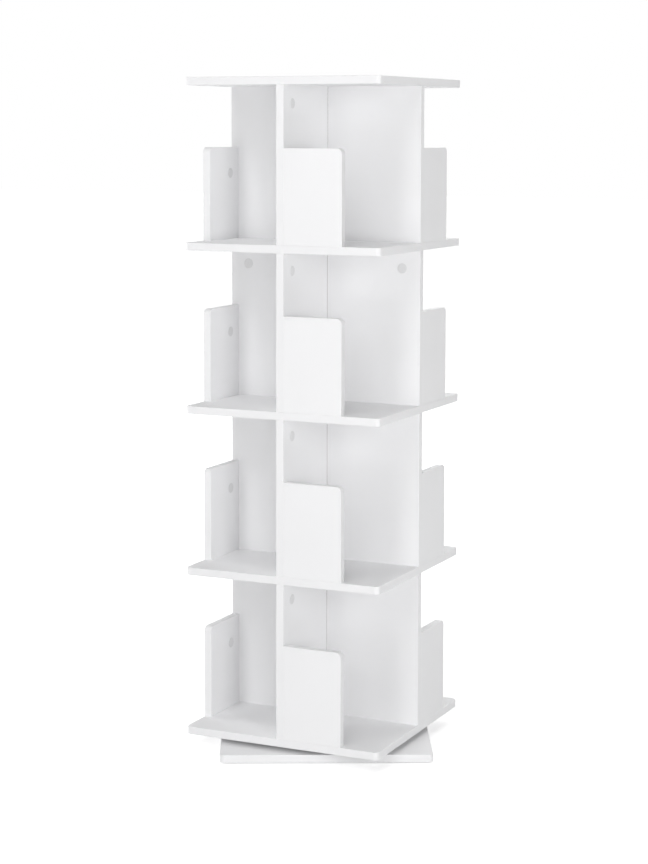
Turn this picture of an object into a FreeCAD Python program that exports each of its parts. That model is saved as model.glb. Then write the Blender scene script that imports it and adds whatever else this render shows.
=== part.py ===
"""Revolving open media tower: four tiers of shelves round crossed dividers, on a ball-bearing turntable.

Millimetres, +Z up. The origin is on the floor, on the axis of rotation. The front of the tower is -Y.
The dividers of a tier cross on the axis: one full board along X, and a half board butting on each of its faces.
A short stop stands on each open edge of a tier, flush with the shelf, and the four stops make a pinwheel.
Cam fittings pull the boards together. Fasteners hidden inside the boards, and the bores they sit in, are
prisms with few sides, because so many round ones would weigh more than the boards that they hold.
"""
import FreeCAD
import Part
import math
import os
from FreeCAD import Placement, Rotation, Vector

# Boards
BOARD = 15.0  # thickness of every board
PLATE_SIDE = 400.0  # side of the shelves and of the top board
PLATE_CORNER_R = 10.0
BASE_SIDE = 400.0
BASE_CORNER_R = 10.0
BASE_TURN = 26.0  # degrees that the base board stands turned from the tower
TIER_COUNT = 4
TIER_CLEAR = 294.0  # clear height from shelf to shelf
STOP_REACH = 117.5  # length of a stop along the shelf's edge
STOP_HEIGHT = 178.0
STOP_CORNER_R = 10.0

# Fittings
FIT = 0.2  # radial clearance of a fastener in its bore
BLIND_WALL = 4.0  # board left behind a blind bore in its face
CAM_D = 15.0
CAM_FLOOR = 2.5  # board left under a cam pocket
CAM_RECESS = 0.3  # depth of a cam's face below the board's face
CAM_SETBACK = 34.0  # from a joint to the centre of its cam
CAM_INSET = 37.0  # from a divider's outer end to its cam
STOP_CAM_DROP = 50.0  # from a stop's top edge to its cam
COVER_D = 20.0
COVER_THICKNESS = 0.5
BOLT_D = 6.0
BOLT_HEAD_GAP = 2.0  # from a cam's centre to the end of the bolt that it grips
BOLT_EDGE_DEPTH = 30.0  # bolt in the lower edge of a divider
DOWEL_D = 8.0
DOWEL_EDGE_DEPTH = 20.0  # dowel in the edge of a board
DOWEL_INSET = 32.0  # from a stop's free end to its dowel
DIVIDER_SCREW_BITE = 35.0  # screw in the lower edge of a bottom divider
WOOD_SCREW_D = 5.0
WOOD_SCREW_HEAD_D = 9.5
SCREW_HEAD_HEIGHT = 3.0

# Turntable
TURNTABLE_GAP = 9.0  # between the base board and the bottom shelf
RUNNING_GAP = 1.0  # between a ring and the board that it turns against
BALL_CIRCLE_R = 135.0
BALL_D = 5.0
BALL_COUNT = 12
BALL_PLAY = 0.3  # clearance of a ball in the races and in the cage
CAGE_THICKNESS = 1.2
CAGE_WEB = 0.6  # cage left over and under a ball's window
CAGE_GAP = 0.4  # between the cage and a ring's lip
RING_WIDTH = 14.0  # from a ring's lip to its far side
RING_SCREW_INSET = 6.0  # from a ring's far side to its screws
RING_SCREW_COUNT = 4
RING_SCREW_D = 4.0
RING_SCREW_HEAD_D = 7.5
RING_SCREW_BITE = 9.0  # screw in the bottom shelf
BASE_SCREW_ROOF = 2.0  # outer ring left over the end of a base screw

# Floor pads
PAD_SIDE = 25.0
PAD_THICKNESS = 2.0
PAD_INSET = 15.0  # from the base board's edge

# Numbers of sides
COVER_SIDES = 12
CAM_SIDES = 8
PIN_SIDES = 6
BALL_SIDES = 6
CAGE_SIDES = 36

# Worked out from the sizes above
HALF = PLATE_SIDE / 2
MID_BOARD = BOARD / 2
BASE_TOP = PAD_THICKNESS + BOARD
TOWER_LOW = BASE_TOP + TURNTABLE_GAP
BALL_Z = BASE_TOP + TURNTABLE_GAP / 2
TIER_PITCH = TIER_CLEAR + BOARD
FACE_DEPTH = BOARD - BLIND_WALL
CAM_DEPTH = BOARD - CAM_FLOOR
FASTENER_REACH = HALF - CAM_INSET  # from the axis to the upright bolts
LIP = CAGE_THICKNESS / 2 + CAGE_GAP  # from the ball circle to a ring's lip
TIERS = range(1, TIER_COUNT + 1)
ARMS = {"front": 0, "right": 90, "back": 180, "left": 270}
FULL_DIVIDER_FLIPPED = (3,)  # tiers where the full divider stands with its cams to the front

solids = {}
cutters = {}


def add(node, solid):
    solids.setdefault(node, []).append(solid)


def fasten(group, fastener, cutter, boards, frame):
    """Adds a fastener to its group and keeps its bore for the boards that it passes through."""
    add(group, placed(fastener, frame))
    for board in boards:
        cutters.setdefault(board, []).append(placed(cutter, frame))


def placed(shape, frame):
    copy = shape.copy()
    copy.Placement = frame.multiply(copy.Placement)
    return copy


def about_axis(angle):
    return Placement(Vector(), Rotation(Vector(0, 0, 1), angle))


def upright(x, y, z, turn=0.0):
    """A frame with +Z up, turned about it."""
    return Placement(Vector(x, y, z), Rotation(Vector(0, 0, 1), turn))


def corners(sides, width, z):
    """The corners of a regular polygon on a circle, with a flat facing +X."""
    angles = [2 * math.pi * (i + 0.5) / sides for i in range(sides)]
    return [Vector(width / 2 * math.cos(a), width / 2 * math.sin(a), z) for a in angles]


def flat_face(points):
    return Part.Face(Part.makePolygon(points + points[:1]))


def turned_prism(sides, levels):
    """A many-sided pin along Z: levels are (height, width) from one end to the other."""
    rings = [corners(sides, width, z) for z, width in levels]
    faces = [flat_face(rings[0]), flat_face(rings[-1])]
    for low, high in zip(rings, rings[1:]):
        for i in range(sides):
            faces.append(flat_face([low[i - 1], low[i], high[i], high[i - 1]]))
    return Part.makeSolid(Part.makeShell(faces))


def along_x(shape):
    """Turns a pin that stands along +Z so that it points along +X."""
    return placed(shape, Placement(Vector(), Rotation(Vector(0, 1, 0), 90)))


def shelf_node(level):
    if level == 0:
        return "bottom_shelf"
    if level == TIER_COUNT:
        return "top_board"
    return f"shelf_{level + 1}"


def shelf_z(level):
    """Height of the underside of the plate at a level."""
    return TOWER_LOW + level * TIER_PITCH


def plate(side, corner_r, z):
    """A square board with rounded corners."""
    blank = Part.makeBox(side, side, BOARD, Vector(-side / 2, -side / 2, z))
    upright_edges = [e for e in blank.Edges if abs(e.tangentAt(e.FirstParameter).z) > 0.5]
    return blank.makeFillet(corner_r, upright_edges)


def full_divider(z):
    return Part.makeBox(PLATE_SIDE, BOARD, TIER_CLEAR, Vector(-HALF, -MID_BOARD, z))


def half_divider(z):
    """The front half divider. The back one is the same, turned half round."""
    return Part.makeBox(BOARD, HALF - MID_BOARD, TIER_CLEAR, Vector(-MID_BOARD, -HALF, z))


def front_stop(z):
    """The front stop, with its upper free corner rounded. The others are the same, turned about the axis."""
    near, far, top = MID_BOARD, MID_BOARD + STOP_REACH, z + STOP_HEIGHT
    centre = Vector(far - STOP_CORNER_R, -HALF, top - STOP_CORNER_R)
    bend = STOP_CORNER_R * math.sqrt(0.5)
    arc = Part.Arc(
        Vector(far, -HALF, centre.z),
        centre + Vector(bend, 0, bend),
        Vector(centre.x, -HALF, top),
    )
    line = Part.makePolygon(
        [arc.EndPoint, Vector(near, -HALF, top), Vector(near, -HALF, z), Vector(far, -HALF, z), arc.StartPoint]
    )
    outline = Part.Wire([arc.toShape()] + line.Edges)
    return Part.Face(outline).extrude(Vector(0, BOARD, 0))


def cam_joint(cam_board, entered, depth, frame):
    """A cam, its cover and the bolt that it pulls on.

    In its own frame the bolt lies along +Z, from the cam board into the entered boards, the joint is at Z = 0,
    and the cam's face is on +X.
    """
    pocket_x = MID_BOARD - CAM_DEPTH
    cam = turned_prism(CAM_SIDES, [(0, CAM_D), (CAM_DEPTH - CAM_RECESS, CAM_D)])
    cam = placed(along_x(cam), Placement(Vector(pocket_x, 0, -CAM_SETBACK), Rotation()))
    grip = BOLT_D + 2 * FIT
    mouth = Part.makeBox(CAM_DEPTH, grip, CAM_D, Vector(pocket_x, -grip / 2, -CAM_SETBACK))
    pocket = turned_prism(CAM_SIDES, [(0, CAM_D + 2 * FIT), (CAM_DEPTH + FIT, CAM_D + 2 * FIT)])
    pocket = placed(along_x(pocket), Placement(Vector(pocket_x, 0, -CAM_SETBACK), Rotation()))
    fasten("cam_locks", cam.cut(mouth), pocket, [cam_board], frame)

    cover = turned_prism(COVER_SIDES, [(0, COVER_D), (COVER_THICKNESS, COVER_D)])
    cover = placed(along_x(cover), Placement(Vector(MID_BOARD, 0, -CAM_SETBACK), Rotation()))
    add("cam_covers", placed(cover, frame))

    head = BOLT_HEAD_GAP - CAM_SETBACK
    bolt = turned_prism(PIN_SIDES, [(head, BOLT_D), (depth, BOLT_D)])
    bore = turned_prism(PIN_SIDES, [(head, grip), (depth + FIT, grip)])
    fasten("cam_bolts", bolt, bore, [cam_board] + entered, frame)


def dowel(ends, boards, frame):
    """A wooden dowel along Z, between two heights of its frame."""
    pin = turned_prism(PIN_SIDES, [(ends[0], DOWEL_D), (ends[1], DOWEL_D)])
    wide = DOWEL_D + 2 * FIT
    bore = turned_prism(PIN_SIDES, [(ends[0] - FIT, wide), (ends[1] + FIT, wide)])
    fasten("dowels", pin, bore, boards, frame)


def screw(group, head_d, shank_d, length, boards, frame):
    """A countersunk screw with its head at the frame's origin, driven along +Z."""
    levels = [(0, head_d), (SCREW_HEAD_HEIGHT, shank_d), (length, shank_d)]
    bore = [(-FIT, head_d + 2 * FIT), (SCREW_HEAD_HEIGHT, shank_d + 2 * FIT), (length + FIT, shank_d + 2 * FIT)]
    fasten(group, turned_prism(PIN_SIDES, levels), turned_prism(PIN_SIDES, bore), boards, frame)


def tier(number):
    """The dividers and stops between two plates, with what joins them to each other and to the plates."""
    low, high = shelf_z(number - 1) + BOARD, shelf_z(number)
    full, floor = f"full_divider_{number}", shelf_node(number - 1)
    halves = {"front": f"front_divider_{number}", "back": f"back_divider_{number}"}
    add(full, full_divider(low))
    for side, half in halves.items():
        add(half, placed(half_divider(low), about_axis(ARMS[side])))
    dowel(
        (-MID_BOARD - DOWEL_EDGE_DEPTH, MID_BOARD + DOWEL_EDGE_DEPTH),
        [full] + list(halves.values()),
        Placement(Vector(0, 0, (low + high) / 2), Rotation(Vector(1, 0, 0), 90)),
    )

    cam_turn = -90.0 if number in FULL_DIVIDER_FLIPPED else 90.0
    fixings = [
        (halves["front"], f"front_divider_{number + 1}", 0, -FASTENER_REACH, 0.0),
        (halves["back"], f"back_divider_{number + 1}", 0, FASTENER_REACH, 180.0),
        (full, f"full_divider_{number + 1}", -FASTENER_REACH, 0, cam_turn),
        (full, f"full_divider_{number + 1}", FASTENER_REACH, 0, cam_turn),
    ]
    for board, board_above, x, y, turn in fixings:
        if number == TIER_COUNT:
            cam_joint(board, [shelf_node(number)], FACE_DEPTH, upright(x, y, high, turn))
        else:
            entered = [shelf_node(number), board_above]
            cam_joint(board, entered, BOARD + BOLT_EDGE_DEPTH, upright(x, y, high, turn))
        if number == 1:
            length = BOARD + DIVIDER_SCREW_BITE
            frame = upright(x, y, TOWER_LOW)
            screw("divider_screws", WOOD_SCREW_HEAD_D, WOOD_SCREW_D, length, [floor, board], frame)

    carriers = {"front": halves["front"], "right": full, "back": halves["back"], "left": full}
    for side, angle in ARMS.items():
        stop = f"{side}_stop_{number}"
        turn = about_axis(angle)
        add(stop, placed(front_stop(low), turn))
        inward = Rotation(Vector(0, 1, 0), Vector(0, 0, -1), Vector(-1, 0, 0), "ZXY")
        joint = Placement(Vector(MID_BOARD, MID_BOARD - HALF, low + STOP_HEIGHT - STOP_CAM_DROP), inward)
        cam_joint(stop, [carriers[side]], FACE_DEPTH, turn.multiply(joint))
        foot = upright(MID_BOARD + STOP_REACH - DOWEL_INSET, MID_BOARD - HALF, low)
        dowel((-FACE_DEPTH, DOWEL_EDGE_DEPTH), [stop, floor], turn.multiply(foot))


def race_angle():
    """Contact angle of the balls: the race's face touches the ball and ends at the ring's lip."""
    rise = TURNTABLE_GAP / 2
    return math.atan2(rise, LIP) - math.acos((BALL_D / 2 + BALL_PLAY) / math.hypot(rise, LIP))


def race_offset(height):
    """Distance of a race's face from the ball circle, at a height from the plane of the balls."""
    angle = race_angle()
    return (BALL_D / 2 + BALL_PLAY - abs(height) * math.sin(angle)) / math.cos(angle)


def race_ring(low, high, side):
    """One ring of the turntable, with a V-shaped race. Side is 1 outside the balls and -1 inside them."""
    near = [Vector(BALL_CIRCLE_R + side * race_offset(z - BALL_Z), 0, z) for z in (low, BALL_Z, high)]
    far_r = BALL_CIRCLE_R + side * (LIP + RING_WIDTH)
    section = Part.makePolygon(near + [Vector(far_r, 0, high), Vector(far_r, 0, low), near[0]])
    return Part.Face(section).revolve(Vector(), Vector(0, 0, 1), 360)


def faceted_ball():
    levels = []
    for latitude in (-67.5, -22.5, 22.5, 67.5):
        angle = math.radians(latitude)
        levels.append((BALL_D / 2 * math.sin(angle), BALL_D * math.cos(angle)))
    return turned_prism(BALL_SIDES, levels)


def turntable():
    """Two rings with balls between them: the outer one is on the base board and the inner one under the shelf."""
    add("bearing_outer_ring", race_ring(BASE_TOP, TOWER_LOW - RUNNING_GAP, 1))
    add("bearing_inner_ring", race_ring(BASE_TOP + RUNNING_GAP, TOWER_LOW, -1))

    window = BALL_D + 2 * BALL_PLAY
    height = window + 2 * CAGE_WEB
    low, high = BALL_Z - height / 2, BALL_Z + height / 2
    outside, inside = 2 * BALL_CIRCLE_R + CAGE_THICKNESS, 2 * BALL_CIRCLE_R - CAGE_THICKNESS
    cage = turned_prism(CAGE_SIDES, [(low, outside), (high, outside)])
    cage = cage.cut(turned_prism(CAGE_SIDES, [(low, inside), (high, inside)]))
    slot = Part.makeBox(window, window, window, Vector(BALL_CIRCLE_R - window / 2, -window / 2, BALL_Z - window / 2))
    ball = placed(faceted_ball(), upright(BALL_CIRCLE_R, 0, BALL_Z))
    for i in range(BALL_COUNT):
        turn = about_axis(360.0 * i / BALL_COUNT)
        add("bearing_balls", placed(ball, turn))
        cutters.setdefault("bearing_cage", []).append(placed(slot, turn))
    add("bearing_cage", cage)

    far = LIP + RING_WIDTH - RING_SCREW_INSET
    shelf_length = TURNTABLE_GAP - RUNNING_GAP + RING_SCREW_BITE
    base_length = BOARD + TURNTABLE_GAP - RUNNING_GAP - BASE_SCREW_ROOF
    for i in range(RING_SCREW_COUNT):
        angle = 360.0 * (i + 0.5) / RING_SCREW_COUNT
        in_shelf = about_axis(angle).multiply(upright(BALL_CIRCLE_R - far, 0, BASE_TOP + RUNNING_GAP))
        boards = ["bearing_inner_ring", "bottom_shelf"]
        screw("ring_screws", RING_SCREW_HEAD_D, RING_SCREW_D, shelf_length, boards, in_shelf)
        in_base = about_axis(angle + BASE_TURN).multiply(upright(BALL_CIRCLE_R + far, 0, PAD_THICKNESS))
        boards = ["bearing_outer_ring", "base_board"]
        screw("base_screws", WOOD_SCREW_HEAD_D, WOOD_SCREW_D, base_length, boards, in_base)


def base():
    """The base board on its felt pads, turned from the tower."""
    turn = about_axis(BASE_TURN)
    add("base_board", placed(plate(BASE_SIDE, BASE_CORNER_R, PAD_THICKNESS), turn))
    reach = BASE_SIDE / 2 - PAD_INSET - PAD_SIDE / 2
    for x in (-reach, reach):
        for y in (-reach, reach):
            corner = Vector(x - PAD_SIDE / 2, y - PAD_SIDE / 2, 0)
            add("floor_pads", placed(Part.makeBox(PAD_SIDE, PAD_SIDE, PAD_THICKNESS, corner), turn))


def finished(node):
    """The node's solids, with the bores of every fastener that passes through them."""
    shapes = solids[node]
    if node in cutters:
        shapes = [s.cut(cutters[node]) for s in shapes]
    pieces = [solid for s in shapes for solid in s.Solids]
    return pieces[0] if len(pieces) == 1 else Part.makeCompound(pieces)


base()
turntable()
for level in range(TIER_COUNT + 1):
    add(shelf_node(level), plate(PLATE_SIDE, PLATE_CORNER_R, shelf_z(level)))
for number in TIERS:
    tier(number)

os.makedirs("parts", exist_ok=True)
for node in solids:
    finished(node).exportStep(f"parts/{node}.step")
print(len(solids), "nodes")
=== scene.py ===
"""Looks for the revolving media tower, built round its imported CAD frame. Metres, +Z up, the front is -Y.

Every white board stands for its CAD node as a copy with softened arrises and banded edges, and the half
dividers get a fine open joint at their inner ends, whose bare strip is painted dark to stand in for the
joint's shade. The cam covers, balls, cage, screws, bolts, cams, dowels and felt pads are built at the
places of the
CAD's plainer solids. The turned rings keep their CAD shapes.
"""

import math

import bmesh
import bpy
from mathutils import Matrix, Vector


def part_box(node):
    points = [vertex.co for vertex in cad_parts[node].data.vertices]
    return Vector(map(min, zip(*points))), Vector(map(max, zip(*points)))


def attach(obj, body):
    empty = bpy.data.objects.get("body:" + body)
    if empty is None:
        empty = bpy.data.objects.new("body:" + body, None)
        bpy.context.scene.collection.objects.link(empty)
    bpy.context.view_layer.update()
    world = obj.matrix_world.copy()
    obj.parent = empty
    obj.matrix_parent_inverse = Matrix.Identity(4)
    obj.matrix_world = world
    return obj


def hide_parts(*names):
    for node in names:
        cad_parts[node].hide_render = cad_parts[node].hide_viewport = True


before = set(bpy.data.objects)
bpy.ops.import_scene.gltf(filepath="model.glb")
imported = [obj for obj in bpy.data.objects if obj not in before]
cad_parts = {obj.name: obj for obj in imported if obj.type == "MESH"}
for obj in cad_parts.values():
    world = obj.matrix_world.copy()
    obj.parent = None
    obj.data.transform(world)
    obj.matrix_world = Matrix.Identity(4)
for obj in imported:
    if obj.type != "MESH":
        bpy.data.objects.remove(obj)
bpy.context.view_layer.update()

TIERS = (1, 2, 3, 4)
SIDES = ("front", "right", "back", "left")
PLATES = ("bottom_shelf", "shelf_2", "shelf_3", "shelf_4", "top_board")
UP = Vector((0, 0, 1))

# Camera: distances in metres, angles in degrees, the sensor in millimetres, and the rest in pixels of a
# frame of 648 by 864, whose long side takes the sensor's width
FRAME_HEIGHT = 864.0
SENSOR = 36.0
CAMERA_TURN = 24.98
CAMERA_DISTANCE = 3.916
CAMERA_ASIDE = -0.0031
CAMERA_HEIGHT = 1.1797
CAMERA_PITCH = 4.8
CAMERA_ROLL = 0.118
FOCAL_PIXELS = 2036.3
PRINCIPAL_Y = 300.74

# Softening
PLATE_ARRIS = 0.0008
BOARD_ARRIS = 0.0006
ARRIS_STEPS = 3
BOARD_SHARP = 35.0  # degrees from which a bend is shaded as an edge
JOINT_WIDTH = 0.0008  # bare strip beside a divider's end, where it butts on the face of another, painted dark as the joint's shade
JOINT_DEPTH = 0.0002

# Places in a board's list of materials; the third, the bare strip, carries painted joint shade
FILM, EDGE, BARE_JOINT_SHADE = range(3)

# Limits of what counts as the same place, a flat bend or the same direction: metres, radians and a cosine
WELD = 1e-6
ON_AXIS = 1e-9
PLANE_SLACK = 2e-5
FLAT_BEND = 0.002
ARRIS_BEND = 0.5
SAME_WAY = 0.99
FILM_WAY = 0.95  # for a face of a board to count as film, against the way of its wide face

# Colours, linear
BOARD_WHITE = (0.89, 0.89, 0.898)
BAND_WHITE = (0.88, 0.88, 0.888)
COVER_WHITE = (0.75, 0.75, 0.755)

# Light: the world's level, the height that the lamps face, and for each lamp its azimuth and elevation in
# degrees, its distance, width and height in metres, and its watts
WORLD_LEVEL = 0.1
LAMP_AIM = 0.64
LAMPS = {
    "key": (30.0, 1.7, 4.5, 0.8, 0.8, 19.7),
    "key_right": (47.0, 1.7, 4.5, 0.8, 0.5, 24.6),
    "key_high": (50.0, 14.0, 4.5, 1.0, 1.0, 25.6),
    "front": (-10.0, 6.0, 4.5, 0.8, 2.2, 13.8),
    "front_right": (15.0, 6.0, 4.5, 1.2, 2.2, 6.9),
    "front_high": (0.0, 35.0, 4.5, 3.0, 3.0, 41.4),
    "front_steep": (0.0, 60.0, 4.5, 2.5, 2.5, 29.5),
    "front_low": (-10.0, -5.0, 4.5, 0.8, 0.6, 7.9),
    "right_high": (90.0, 30.0, 4.5, 1.5, 1.5, 6.9),
    "corner_low": (85.0, -6.0, 2.2, 2.0, 0.7, 4.4),
    "left": (-90.0, 1.7, 4.5, 1.0, 0.6, 66.0),
    "left_high": (-90.0, 20.0, 4.5, 3.0, 3.0, 42.0),
    "back": (180.0, 25.0, 4.5, 3.0, 3.0, 125.0),
}

# Floor: half its side, and the glow that only the lens sees, which rises from one distance to another
FLOOR_REACH = 30.0
FLOOR_NEAR, FLOOR_FAR = 0.45, 3.0
FLOOR_LIFT_NEAR, FLOOR_LIFT_FAR = 0.5, 1.0


# ---------------------------------------------------------------- node helpers


def add_node(tree, kind, inputs=None, **settings):
    """A shader node with its settings made and its inputs linked or filled in."""
    made = tree.nodes.new(kind)
    for key, value in settings.items():
        setattr(made, key, value)
    for key, value in (inputs or {}).items():
        if isinstance(value, bpy.types.NodeSocket):
            tree.links.new(value, made.inputs[key])
        else:
            made.inputs[key].default_value = value
    return made


def new_material(name, **constants):
    """A material with one Principled shader, and the constants that are the same all over it."""
    material = bpy.data.materials.new(name)
    material.use_nodes = True
    shader = material.node_tree.nodes["Principled BSDF"]
    for key, value in constants.items():
        socket = shader.inputs[key.replace("_", " ")]
        socket.default_value = (*value, 1.0) if isinstance(value, tuple) else value
    return material, material.node_tree, shader


def object_coords(tree):
    return add_node(tree, "ShaderNodeTexCoord").outputs["Object"]


def noise(tree, coords, scale, detail=2.0, roughness=0.5):
    inputs = {"Vector": coords, "Scale": scale, "Detail": detail, "Roughness": roughness}
    return add_node(tree, "ShaderNodeTexNoise", inputs).outputs["Fac"]


def ranged(tree, value, low, high, from_low=0.3, from_high=0.7):
    inputs = {"Value": value, "From Min": from_low, "From Max": from_high, "To Min": low, "To Max": high}
    return add_node(tree, "ShaderNodeMapRange", inputs).outputs["Result"]


def two_colours(tree, value, first, second):
    """A colour between two, by a value from 0 to 1."""
    mixer = add_node(tree, "ShaderNodeMix", data_type="RGBA")
    tree.links.new(value, mixer.inputs[0])
    mixer.inputs[6].default_value = (*first, 1.0)
    mixer.inputs[7].default_value = (*second, 1.0)
    return mixer.outputs[2]


def stretched(tree, coords, scale):
    return add_node(tree, "ShaderNodeMapping", {"Vector": coords, "Scale": scale}).outputs["Vector"]


def bump(tree, shader, height, distance):
    inputs = {"Height": height, "Distance": distance, "Strength": 1.0}
    tree.links.new(add_node(tree, "ShaderNodeBump", inputs).outputs["Normal"], shader.inputs["Normal"])


def shade(colour, factor):
    return tuple(c * factor for c in colour)


# ---------------------------------------------------------------- materials


def melamine(name, colour, rough, pearl):
    """White board film: a very even tone, a fine pearl in its surface and a soft satin sheen."""
    material, tree, shader = new_material(name, Specular_IOR_Level=0.25)
    coords = object_coords(tree)
    cloud = ranged(tree, noise(tree, coords, 3.1, 3.0), 0.0, 1.0)
    tree.links.new(two_colours(tree, cloud, shade(colour, 0.975), colour), shader.inputs["Base Color"])
    grain = noise(tree, coords, 420.0, 3.0, 0.6)
    tree.links.new(ranged(tree, grain, rough - 0.05, rough + 0.05), shader.inputs["Roughness"])
    bump(tree, shader, grain, pearl)
    return material


def plastic(name, colour, rough):
    """Moulded plastic with a fine spark-eroded skin."""
    material, tree, shader = new_material(name, Specular_IOR_Level=0.45)
    coords = object_coords(tree)
    cloud = ranged(tree, noise(tree, coords, 60.0), 0.0, 1.0)
    tree.links.new(two_colours(tree, cloud, shade(colour, 0.97), colour), shader.inputs["Base Color"])
    skin = noise(tree, coords, 2200.0, 2.0)
    tree.links.new(ranged(tree, skin, rough - 0.06, rough + 0.06), shader.inputs["Roughness"])
    bump(tree, shader, skin, 0.00003)
    return material


def metal(name, colour, rough, scale, pits):
    """Bare or plated metal: blotches of tone, and much finer marks in its roughness and surface."""
    material, tree, shader = new_material(name, Metallic=1.0)
    coords = object_coords(tree)
    blotch = ranged(tree, noise(tree, coords, scale, 3.0), 0.0, 1.0)
    tree.links.new(two_colours(tree, blotch, shade(colour, 0.86), colour), shader.inputs["Base Color"])
    marks = noise(tree, coords, scale * 12.0, 3.0)
    tree.links.new(ranged(tree, marks, rough * 0.75, rough * 1.25), shader.inputs["Roughness"])
    bump(tree, shader, marks, pits)
    return material


def chipboard_with_joint_shade():
    """Bare chipboard beyond the film's edge, painted much darker than chipboard is to stand in for the
    shade in the open joint, with pale chips in it.
    """
    material, tree, shader = new_material("chipboard_painted_joint_shade", Roughness=0.85)
    coords = object_coords(tree)
    chips = noise(tree, stretched(tree, coords, (1.0, 1.0, 0.35)), 900.0, 4.0, 0.65)
    # The dark end of this tone is painted shade of the open joint, darker than bare chipboard is.
    tone = two_colours(tree, ranged(tree, chips, 0.0, 1.0), (0.12, 0.105, 0.095), (0.36, 0.31, 0.27))
    tree.links.new(tone, shader.inputs["Base Color"])
    bump(tree, shader, chips, 0.00008)
    return material


def turned_aluminium():
    """Concentric tool marks round the turntable's axis."""
    material, tree, shader = new_material("turned_aluminium", Metallic=1.0, Anisotropic=0.4)
    coords = object_coords(tree)
    flat = add_node(tree, "ShaderNodeVectorMath", {0: coords, 1: (1.0, 1.0, 0.0)}, operation="MULTIPLY")
    radius = add_node(tree, "ShaderNodeVectorMath", {0: flat.outputs[0]}, operation="LENGTH")
    ring = add_node(tree, "ShaderNodeCombineXYZ", {"X": radius.outputs["Value"]}).outputs[0]
    marks = noise(tree, ring, 1600.0, 2.0)
    blotch = ranged(tree, noise(tree, coords, 40.0), 0.0, 1.0)
    tone = two_colours(tree, blotch, (0.62, 0.63, 0.64), (0.72, 0.73, 0.74))
    tree.links.new(tone, shader.inputs["Base Color"])
    tree.links.new(ranged(tree, marks, 0.28, 0.42), shader.inputs["Roughness"])
    bump(tree, shader, marks, 0.00003)
    return material


def beech():
    """Raw beech with short flecks that are drawn out along Y."""
    material, tree, shader = new_material("raw_beech", Roughness=0.72)
    coords = object_coords(tree)
    grain = noise(tree, stretched(tree, coords, (260.0, 40.0, 260.0)), 3.0, 4.0)
    tone = two_colours(tree, ranged(tree, grain, 0.0, 1.0), (0.62, 0.45, 0.29), (0.76, 0.6, 0.42))
    tree.links.new(tone, shader.inputs["Base Color"])
    bump(tree, shader, grain, 0.00006)
    return material


def felt():
    """Pressed felt: matted fibres, with the loose ones catching light."""
    material, tree, shader = new_material("pressed_felt", Sheen_Weight=0.5, Sheen_Roughness=0.6)
    coords = object_coords(tree)
    fibres = noise(tree, stretched(tree, coords, (1.0, 1.0, 2.5)), 1500.0, 5.0, 0.7)
    tone = two_colours(tree, ranged(tree, fibres, 0.0, 1.0), (0.17, 0.17, 0.18), (0.31, 0.31, 0.32))
    tree.links.new(tone, shader.inputs["Base Color"])
    tree.links.new(ranged(tree, fibres, 0.88, 1.0), shader.inputs["Roughness"])
    bump(tree, shader, fibres, 0.0003)
    return material


WHITE = melamine("white_melamine", BOARD_WHITE, rough=0.58, pearl=0.00002)
BAND = melamine("white_edge_band", BAND_WHITE, rough=0.55, pearl=0.00001)
JOINT_SHADE_CHIPBOARD = chipboard_with_joint_shade()
COVER = plastic("cover_plastic", COVER_WHITE, rough=0.5)
NYLON = plastic("natural_nylon", (0.85, 0.84, 0.8), rough=0.45)
ALUMINIUM = turned_aluminium()
BALL_STEEL = metal("polished_steel", (0.75, 0.75, 0.76), rough=0.08, scale=90.0, pits=0.000002)
ZINC_STEEL = metal("zinc_plate", (0.66, 0.67, 0.68), rough=0.28, scale=120.0, pits=0.00001)
CAST_ZINC = metal("die_cast_zinc", (0.55, 0.56, 0.57), rough=0.5, scale=80.0, pits=0.00005)
BEECH = beech()
FELT = felt()


# ---------------------------------------------------------------- mesh helpers


def piece(name, bm, materials, body, slot, *nodes):
    """Makes an object of a bmesh: it rides on a body and stands for CAD nodes."""
    mesh = bpy.data.meshes.new(name)
    bm.to_mesh(mesh)
    bm.free()
    for material in materials:
        mesh.materials.append(material)
    made = bpy.data.objects.new(name, mesh)
    bpy.context.scene.collection.objects.link(made)
    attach(made, body)
    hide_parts(*nodes)
    return made


def outer_faces(bm):
    """The faces that lie on the board's outline: nothing of the board is beyond their planes."""
    corners = [v.co.copy() for v in bm.verts]
    found = set()
    for face in bm.faces:
        reach = face.normal.dot(face.verts[0].co)
        if all(face.normal.dot(c) < reach + PLANE_SLACK for c in corners):
            found.add(face)
    return found


def welded_copy(node):
    """The CAD node's mesh with its corners joined up and its flat faces whole."""
    bm = bmesh.new()
    bm.from_mesh(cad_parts[node].data)
    bmesh.ops.remove_doubles(bm, verts=bm.verts, dist=WELD)
    bmesh.ops.dissolve_limit(bm, angle_limit=FLAT_BEND, verts=bm.verts, edges=bm.edges)
    bm.normal_update()
    return bm


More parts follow.
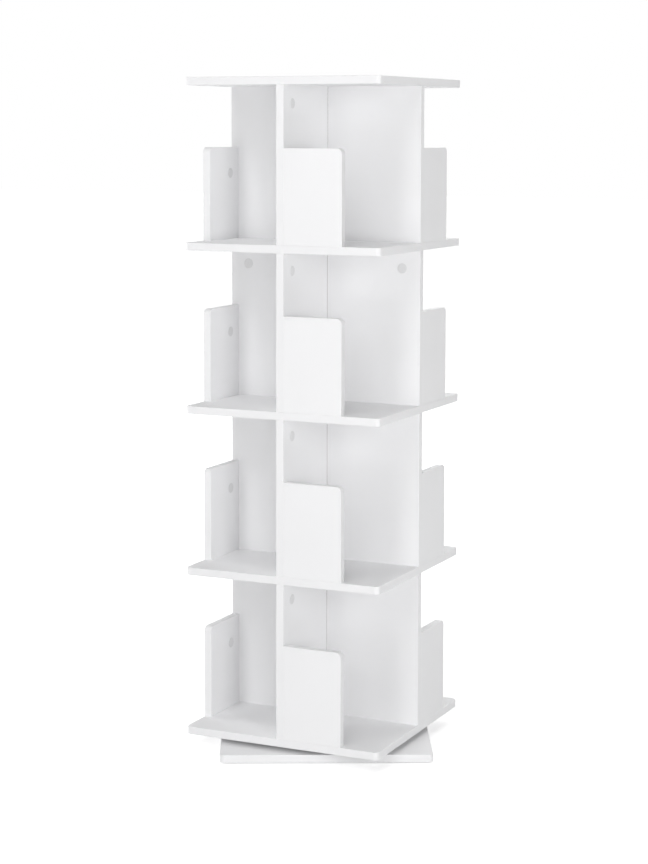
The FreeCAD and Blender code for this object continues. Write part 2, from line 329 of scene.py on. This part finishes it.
def open_joint(bm, way):
    """Sinks a narrow bare strip on both sides of a board, beside its end that looks one way, and gives it
    the material with painted joint shade.
    """
    reach = max(v.co.dot(way) for v in bm.verts)
    end = [
        f for f in bm.faces
        if f.normal.dot(way) > SAME_WAY and f.verts[0].co.dot(way) > reach - PLANE_SLACK
    ]
    bmesh.ops.translate(bm, verts=list({v for f in end for v in f.verts}), vec=way * -JOINT_WIDTH)
    grown = bmesh.ops.extrude_face_region(bm, geom=end)["geom"]
    bmesh.ops.delete(bm, geom=end, context="FACES")
    tips = [g for g in grown if isinstance(g, bmesh.types.BMVert)]
    bmesh.ops.translate(bm, verts=tips, vec=way * JOINT_WIDTH)
    bm.normal_update()
    aside = way.cross(UP)
    start = reach - JOINT_WIDTH - PLANE_SLACK
    outside = outer_faces(bm)
    strips = [
        f for f in bm.faces
        if f in outside and abs(f.normal.dot(aside)) > SAME_WAY
        and all(v.co.dot(way) > start for v in f.verts)
    ]
    sunk = bmesh.ops.inset_individual(bm, faces=strips, thickness=JOINT_DEPTH / 2, depth=-JOINT_DEPTH)
    for face in strips + sunk["faces"]:
        face.material_index = BARE_JOINT_SHADE
    bm.normal_update()


def soften(bm, edges, offset, steps):
    bmesh.ops.bevel(bm, geom=edges, offset=offset, offset_type="OFFSET", segments=steps, profile=0.5,
                    affect="EDGES", clamp_overlap=False)
    bm.normal_update()


def soft_board(node, body, arris, hidden=(), butted=None):
    """A board with rounded arrises and a band round its edge.

    Hidden lists the directions of the edges that lie on another board: they stay square. Butted is the
    direction of an end that meets another board's face, with a fine open joint left on both sides of it,
    its bare strips painted dark as the joint's shade.
    """
    bm = welded_copy(node)
    if butted:
        open_joint(bm, Vector(butted))
    outside = outer_faces(bm)
    wide = max(outside, key=lambda f: f.calc_area()).normal.copy()
    square = {f for f in outside if any(f.normal.dot(Vector(h)) > SAME_WAY for h in hidden)}
    chosen = [
        e for e in bm.edges
        if len(e.link_faces) == 2
        and all(f in outside and f not in square for f in e.link_faces)
        and e.calc_face_angle(0) > ARRIS_BEND
    ]
    soften(bm, chosen, arris, ARRIS_STEPS)
    outside = outer_faces(bm)
    for face in bm.faces:
        face.smooth = True
        if face.material_index != BARE_JOINT_SHADE:
            banded = face in outside and abs(face.normal.dot(wide)) < FILM_WAY
            face.material_index = EDGE if banded else FILM
    # The third material is the bare strip at a butted end, painted dark as the joint's shade
    made = piece(node + "_board", bm, [WHITE, BAND, JOINT_SHADE_CHIPBOARD], body, "white_board", node)
    made.data.set_sharp_from_angle(angle=math.radians(BOARD_SHARP))
    weighted = made.modifiers.new("weighted", "WEIGHTED_NORMAL")
    weighted.keep_sharp = True
    weighted.weight = 100


def islands(node):
    """The separate solids of a CAD node, each as a list of corners."""
    bm = welded_copy(node)
    left, found = set(bm.verts), []
    for start in bm.verts:
        if start not in left:
            continue
        left.discard(start)
        waiting, group = [start], []
        while waiting:
            vert = waiting.pop()
            group.append(vert.co.copy())
            for link in vert.link_edges:
                other = link.other_vert(vert)
                if other in left:
                    left.discard(other)
                    waiting.append(other)
        found.append(group)
    bm.free()
    return found


def centre_and_size(points):
    low = Vector(min(p[i] for p in points) for i in range(3))
    high = Vector(max(p[i] for p in points) for i in range(3))
    return (low + high) / 2, high - low


def lathe(bm, profile, steps, to_world, carve=None):
    """Turns a profile of (radius, height) about Z, and gives its rings. Points on the axis close it.

    Carve, if given, is a depth to take off the radius, by angle and height.
    """
    rings = []
    for radius, height in profile:
        if radius < ON_AXIS:
            rings.append([bm.verts.new(to_world @ Vector((0, 0, height)))])
            continue
        ring = []
        for i in range(steps):
            angle = 2 * math.pi * i / steps
            reach = radius - carve(angle, height) if carve else radius
            point = Vector((reach * math.cos(angle), reach * math.sin(angle), height))
            ring.append(bm.verts.new(to_world @ point))
        rings.append(ring)
    for low, high in zip(rings, rings[1:]):
        for i in range(steps):
            j = (i + 1) % steps
            if len(low) == 1:
                corners = [low[0], high[i], high[j]]
            elif len(high) == 1:
                corners = [low[i], high[0], low[j]]
            else:
                corners = [low[i], high[i], high[j], low[j]]
            bm.faces.new(corners)
    return rings


def windowed_tube(bm, inner, outer, levels, angles, windows, to_world):
    """A tube about Z, with windows cut through its wall.

    Levels are its low end, a window's low and high edges, and its high end. Windows are the places in the
    list of angles where one starts, and it ends at the next angle.
    """
    columns = []
    for angle in angles:
        column = {}
        for wall, radius in enumerate((inner, outer)):
            for k, height in enumerate(levels):
                point = Vector((radius * math.cos(angle), radius * math.sin(angle), height))
                column[wall, k] = bm.verts.new(to_world @ point)
        columns.append(column)
    for i, here in enumerate(columns):
        there = columns[(i + 1) % len(columns)]
        for wall in (0, 1):
            for k in (0, 2) if i in windows else (0, 1, 2):
                bm.faces.new([here[wall, k], there[wall, k], there[wall, k + 1], here[wall, k + 1]])
        for k in (0, 1, 2, 3) if i in windows else (0, 3):
            bm.faces.new([here[0, k], here[1, k], there[1, k], there[0, k]])
        if (i in windows) != ((i - 1) % len(columns) in windows):
            bm.faces.new([here[0, 1], here[1, 1], here[1, 2], here[0, 2]])


def cross_recess(bm, rim, to_world, reach, width, depth):
    """Closes the rim of a turned piece at height 0 with a face that has a cross recess for a driver."""
    taper = 0.7
    outline = []
    for turn in range(4):
        for x, y in ((reach, -width), (reach, width), (width, width)):
            outline.append(Matrix.Rotation(math.pi / 2 * turn, 3, "Z") @ Vector((x, y, 0)))
    mouth = [bm.verts.new(to_world @ p) for p in outline]
    low = [bm.verts.new(to_world @ (p * taper + Vector((0, 0, depth)))) for p in outline]
    edges = []
    for loop in (rim, mouth):
        for first, second in zip(loop, loop[1:] + loop[:1]):
            edges.append(bm.edges.get((first, second)) or bm.edges.new((first, second)))
    bmesh.ops.triangle_fill(bm, use_beauty=True, edges=edges)
    for i in range(len(mouth)):
        bm.faces.new([mouth[i - 1], mouth[i], low[i], low[i - 1]])
    bm.faces.new(low)


def finished(name, bm, material, body, slot, node, sharp=40.0):
    """A turned piece with smooth faces and crisp edges, in its node's place."""
    bmesh.ops.recalc_face_normals(bm, faces=bm.faces)
    for face in bm.faces:
        face.smooth = True
    made = piece(name, bm, [material], body, slot, node)
    made.data.set_sharp_from_angle(angle=math.radians(sharp))


# ---------------------------------------------------------------- boards


def boards():
    soft_board("base_board", "base", PLATE_ARRIS)
    for node in PLATES:
        soft_board(node, "tower", PLATE_ARRIS)
    for tier in TIERS:
        soft_board(f"full_divider_{tier}", "tower", BOARD_ARRIS, [UP, -UP])
        soft_board(f"front_divider_{tier}", "tower", BOARD_ARRIS, [UP, -UP, (0, 1, 0)], (0, 1, 0))
        soft_board(f"back_divider_{tier}", "tower", BOARD_ARRIS, [UP, -UP, (0, -1, 0)], (0, -1, 0))
        for side in SIDES:
            soft_board(f"{side}_stop_{tier}", "tower", BOARD_ARRIS, [-UP])


boards()


# ---------------------------------------------------------------- fittings


SNUG = 0.875  # share of a CAD pin's corner radius that a round pin in the same bore has
CAM_SNUG = 0.94  # the same for a cam, whose CAD solid has more sides
THREAD_STEPS = 6  # rings of a thread in one pitch
COVER_STEPS, SCREW_STEPS, BOLT_STEPS, CAM_STEPS = 48, 24, 20, 40  # sides of the turned pieces


def along(way):
    """The axis that a vector lies nearest to, one long and the same way round."""
    axis = max(range(3), key=lambda i: abs(way[i]))
    unit = Vector((0, 0, 0))
    unit[axis] = math.copysign(1.0, way[axis])
    return unit


def standing(foot, way):
    return Matrix.Translation(foot) @ way.to_track_quat("Z", "Y").to_matrix().to_4x4()


def pins(node):
    """The pins of a CAD node: the low end of each, the way along it, its length and its greatest radius."""
    found = []
    for points in islands(node):
        centre, size = centre_and_size(points)
        way = along(size)
        length = size.dot(way)
        foot = centre - way * length / 2
        found.append((foot, way, length, max((p - foot).cross(way).length for p in points)))
    return found


def centres(node):
    return [centre_and_size(points)[0] for points in islands(node)]


def nearest(point, points):
    return min(points, key=lambda p: (p - point).length)


def cam_covers():
    """Round press-on covers with a soft rim, one over each cam."""
    bm = bmesh.new()
    cams = centres("cam_locks")
    for points in islands("cam_covers"):
        centre, size = centre_and_size(points)
        side = along(centre - nearest(centre, cams))
        radius = max(size) / 2
        thick = min(size)
        profile = [(0, 0), (radius, 0), (radius, thick * 0.45), (radius - thick * 0.25, thick * 0.85),
                   (radius - thick * 0.8, thick), (radius * 0.5, thick), (0, thick)]
        lathe(bm, profile, COVER_STEPS, standing(centre - side * thick / 2, side))
    finished("cam_cover_discs", bm, COVER, "tower", "cover", "cam_covers", sharp=50.0)


def balls():
    rings = 16
    bm = bmesh.new()
    for points in islands("bearing_balls"):
        centre, _ = centre_and_size(points)
        radius = max((p - centre).length for p in points)
        slopes = [math.pi * (i / rings - 0.5) for i in range(rings + 1)]
        profile = [(radius * math.cos(a), radius * math.sin(a)) for a in slopes]
        lathe(bm, profile, 2 * rings, Matrix.Translation(centre))
    finished("bearing_ball_set", bm, BALL_STEEL, "ball_train", "ball_steel", "bearing_balls")


def cage():
    """A thin round cage with one window for each ball."""
    wall, pocket, steps = 0.0012, 0.0028, 8
    low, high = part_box("bearing_cage")
    outer = max(Vector(v.co[:2]).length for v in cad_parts["bearing_cage"].data.vertices)
    at_balls = sorted((math.atan2(c.y, c.x) % (2 * math.pi), c.z) for c in centres("bearing_balls"))
    half = math.asin(pocket / outer)
    web = (2 * math.pi / len(at_balls) - 2 * half) / steps
    angles, windows = [], set()
    for angle, _ in at_balls:
        windows.add(len(angles))
        angles.append(angle - half)
        angles.extend(angle + half + web * k for k in range(steps))
    level = at_balls[0][1]
    bm = bmesh.new()
    levels = (low[2], level - pocket, level + pocket, high[2])
    windowed_tube(bm, outer - wall, outer, levels, angles, windows, Matrix.Identity(4))
    finished("bearing_cage_ring", bm, NYLON, "ball_train", "nylon", "bearing_cage")


def thread(start, pitch, depth):
    """The depth of a helical thread's groove, from a height on."""
    def groove(angle, height):
        if height < start:
            return 0.0
        return depth * (0.5 - 0.5 * math.cos(2 * math.pi * (height / pitch - angle / (2 * math.pi))))
    return groove


def screws(node, body, head_height, pitch):
    """Countersunk screws with a cross recess, a bare neck and a thread that runs out at the point."""
    rim_height, shank_share, neck_share, thread_share = 0.0004, 0.53, 0.3, 0.22
    bm = bmesh.new()
    for foot, way, length, radius in pins(node):
        head = radius * SNUG
        shank = head * shank_share
        start, point = length * neck_share, length - shank * 2
        rings = int((point - start) / pitch * THREAD_STEPS)
        profile = [(head, 0), (head, rim_height), (shank, head_height), (shank, start)]
        profile += [(shank, start + (point - start) * (k + 1) / rings) for k in range(rings)]
        profile += [(shank * 0.8, point + shank), (0, length)]
        place = standing(foot, way)
        rim = lathe(bm, profile, SCREW_STEPS, place, thread(start, pitch, shank * thread_share))[0]
        cross_recess(bm, rim, place, reach=head * 0.52, width=head * 0.12, depth=head_height * 0.6)
    finished(node + "_set", bm, ZINC_STEEL, body, "zinc_steel", node)


def bolts():
    """Cam bolts: a ball head on a thin neck in the cam, a collar at the joint and a coarse thread."""
    pitch, neck_end, collar, neck_share, thread_share = 0.0022, 0.007, 0.0085, 0.62, 0.25
    short, short_thread, long_thread = 0.05, 0.010, 0.028
    bm = bmesh.new()
    cams = centres("cam_locks")
    for foot, way, length, radius in pins("cam_bolts"):
        tip = foot + way * length
        if (nearest(foot, cams) - foot).length > (nearest(tip, cams) - tip).length:
            foot, way = tip, -way
        shank = radius * SNUG
        neck = shank * neck_share
        start = length - (short_thread if length < short else long_thread)
        rings = int((length - shank - start) / pitch * THREAD_STEPS)
        profile = [(0, 0), (shank * 0.7, shank * 0.15), (shank, shank * 0.7), (shank * 0.8, shank * 1.3),
                   (neck, shank * 1.7), (neck, neck_end), (shank, collar), (shank, start)]
        profile += [(shank, start + pitch * (k + 1) / THREAD_STEPS) for k in range(rings)]
        profile += [(shank * 0.7, length), (0, length)]
        lathe(bm, profile, BOLT_STEPS, standing(foot, way), thread(start, pitch, shank * thread_share))
    finished("cam_bolt_set", bm, ZINC_STEEL, "tower", "zinc_steel", "cam_bolts")


def cam_bodies():
    """Die-cast cams: a cross recess under the cover, and an opening on the side of the bolt."""
    floor_thick, mouth_height, wall_share = 0.0018, 0.0064, 0.6
    rim, lip, half_mouth, wall_steps = 0.0003, 0.0001, 0.9, 30
    bm = bmesh.new()
    covers = centres("cam_covers")
    bolt_middles = centres("cam_bolts")
    for points in islands("cam_locks"):
        centre, size = centre_and_size(points)
        face = along(nearest(centre, covers) - centre)
        depth = abs(size.dot(face))
        radius = max((p - centre).cross(face).length for p in points) * CAM_SNUG
        place = standing(centre + face * depth / 2, -face)
        bolt = nearest(centre, bolt_middles) - centre
        bolt = place.to_3x3().inverted() @ (bolt - face * bolt.dot(face))
        toward = math.atan2(bolt.y, bolt.x)
        floor_height = depth - floor_thick
        cap = floor_height - mouth_height
        drum = [(radius - rim, 0), (radius, rim), (radius, cap), (0, cap)]
        top = lathe(bm, drum, CAM_STEPS, place)[0]
        cross_recess(bm, top, place, reach=radius * 0.5, width=radius * 0.13, depth=cap * 0.7)
        floor_disc = [(0, floor_height), (radius, floor_height), (radius, depth), (0, depth)]
        lathe(bm, floor_disc, CAM_STEPS, place)
        wall = 2 * (math.pi - half_mouth)
        angles = [toward - half_mouth]
        angles += [toward + half_mouth + wall * k / wall_steps for k in range(wall_steps)]
        levels = (cap, cap + lip, floor_height - lip, floor_height)
        windowed_tube(bm, radius * wall_share, radius, levels, angles, {0}, place)
    finished("cam_body_set", bm, CAST_ZINC, "tower", "cast_zinc", "cam_locks")


def wood_dowels():
    """Fluted beech dowels with chamfered ends."""
    chamfer, flutes, flute_depth = 0.001, 12, 0.0003

    def flute(angle, _):
        return flute_depth * max(0.0, math.cos(flutes * angle))

    bm = bmesh.new()
    for foot, way, length, radius in pins("dowels"):
        thick = radius * SNUG
        profile = [(0, 0), (thick - chamfer, 0), (thick, chamfer),
                   (thick, length - chamfer), (thick - chamfer, length), (0, length)]
        lathe(bm, profile, 4 * flutes, standing(foot, way), flute)
    finished("fluted_dowels", bm, BEECH, "tower", "beech", "dowels")


def pads():
    """Felt pads with rounded corners and a soft rim."""
    corner, rim, rim_bend = 0.003, 0.0004, 1.2
    bm = welded_copy("floor_pads")
    upright = [e for e in bm.edges if abs((e.verts[1].co - e.verts[0].co).normalized().z) > SAME_WAY]
    soften(bm, upright, corner, steps=5)
    rims = [e for e in bm.edges if e.calc_face_angle(0) > rim_bend]
    soften(bm, rims, rim, steps=2)
    finished("felt_pad_set", bm, FELT, "base", "felt", "floor_pads", sharp=60.0)


def dress_rings():
    """The turned rings keep their CAD shapes and get their own finish."""
    for node in ("bearing_outer_ring", "bearing_inner_ring"):
        for material_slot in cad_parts[node].material_slots:
            material_slot.material = ALUMINIUM


cam_covers()
balls()
cage()
screws("base_screws", "base", head_height=0.003, pitch=0.0018)
screws("ring_screws", "tower", head_height=0.003, pitch=0.0014)
screws("divider_screws", "tower", head_height=0.003, pitch=0.0022)
bolts()
cam_bodies()
wood_dowels()
pads()
dress_rings()


# ---------------------------------------------------------------- floor, light and camera


def seen_by_lens(tree):
    """1 for what the camera, a mirror or a clear thing sees, and 0 for light on its way to the object."""
    path = add_node(tree, "ShaderNodeLightPath")
    seen = path.outputs["Is Camera Ray"]
    for name in ("Is Glossy Ray", "Is Transmission Ray"):
        either = add_node(tree, "ShaderNodeMath", {0: seen, 1: path.outputs[name]}, operation="MAXIMUM")
        seen = either.outputs[0]
    return seen


def floor():
    """A pale floor that reads as white, and keeps the shadow of the object."""
    material, tree, shader = new_material("pale_floor", Roughness=0.9, Specular_IOR_Level=0.0)
    coords = object_coords(tree)
    cloud = ranged(tree, noise(tree, coords, 0.8), 0.0, 1.0)
    tone = two_colours(tree, cloud, (0.84, 0.84, 0.84), (0.86, 0.86, 0.86))
    tree.links.new(tone, shader.inputs["Base Color"])
    reach = add_node(tree, "ShaderNodeVectorMath", {0: coords}, operation="LENGTH").outputs["Value"]
    lift = ranged(tree, reach, FLOOR_LIFT_NEAR, FLOOR_LIFT_FAR, FLOOR_NEAR, FLOOR_FAR)
    glow = add_node(tree, "ShaderNodeMath", {0: seen_by_lens(tree), 1: lift}, operation="MULTIPLY")
    shader.inputs["Emission Color"].default_value = (1.0, 1.0, 1.0, 1.0)
    tree.links.new(glow.outputs[0], shader.inputs["Emission Strength"])
    mesh = bpy.data.meshes.new("floor")
    corners = [(x * FLOOR_REACH, y * FLOOR_REACH, 0) for x, y in ((-1, -1), (1, -1), (1, 1), (-1, 1))]
    mesh.from_pydata(corners, [], [(0, 1, 2, 3)])
    mesh.materials.append(material)
    made = bpy.data.objects.new("floor", mesh)
    bpy.context.scene.collection.objects.link(made)


def surroundings(level):
    """White to the eye, and a plain soft level of light for the object."""
    world = bpy.data.worlds.new("studio")
    bpy.context.scene.world = world
    world.use_nodes = True
    tree = world.node_tree
    background = tree.nodes["Background"]
    inputs = {"Value": seen_by_lens(tree), "To Min": level, "To Max": 1.0}
    strength = add_node(tree, "ShaderNodeMapRange", inputs)
    background.inputs["Color"].default_value = (1.0, 1.0, 1.0, 1.0)
    tree.links.new(strength.outputs["Result"], background.inputs["Strength"])


def softbox(name, azimuth, elevation, distance, width, height, power):
    """A rectangular lamp facing the tower's middle. Azimuth 0 is in front of it, and 90 to its right."""
    lamp = bpy.data.lights.new(name, "AREA")
    lamp.shape = "RECTANGLE"
    lamp.size, lamp.size_y = width, height
    lamp.energy = power
    made = bpy.data.objects.new(name, lamp)
    a, e = math.radians(azimuth), math.radians(elevation)
    away = Vector((math.sin(a) * math.cos(e), -math.cos(a) * math.cos(e), math.sin(e)))
    made.location = Vector((0, 0, LAMP_AIM)) + away * distance
    made.rotation_euler = away.to_track_quat("Z", "Y").to_euler()
    made.visible_camera = False
    bpy.context.scene.collection.objects.link(made)


def camera():
    lens = bpy.data.cameras.new("camera")
    lens.sensor_width = SENSOR
    lens.lens = FOCAL_PIXELS * SENSOR / FRAME_HEIGHT
    lens.shift_y = (PRINCIPAL_Y - FRAME_HEIGHT / 2) / FRAME_HEIGHT
    lens.clip_end = 100.0
    made = bpy.data.objects.new("camera", lens)
    turn = Matrix.Rotation(math.radians(CAMERA_TURN), 4, "Z")
    tilt = Matrix.Rotation(math.radians(90 - CAMERA_PITCH), 4, "X")
    roll = Matrix.Rotation(math.radians(CAMERA_ROLL), 4, "Z")
    place = turn @ Matrix.Translation((CAMERA_ASIDE, -CAMERA_DISTANCE, CAMERA_HEIGHT))
    made.matrix_world = place @ tilt @ roll
    bpy.context.scene.collection.objects.link(made)
    bpy.context.scene.camera = made


floor()
surroundings(WORLD_LEVEL)
for lamp_name, settings in LAMPS.items():
    softbox(lamp_name, *settings)
camera()
bpy.context.scene.view_settings.view_transform = "Standard"
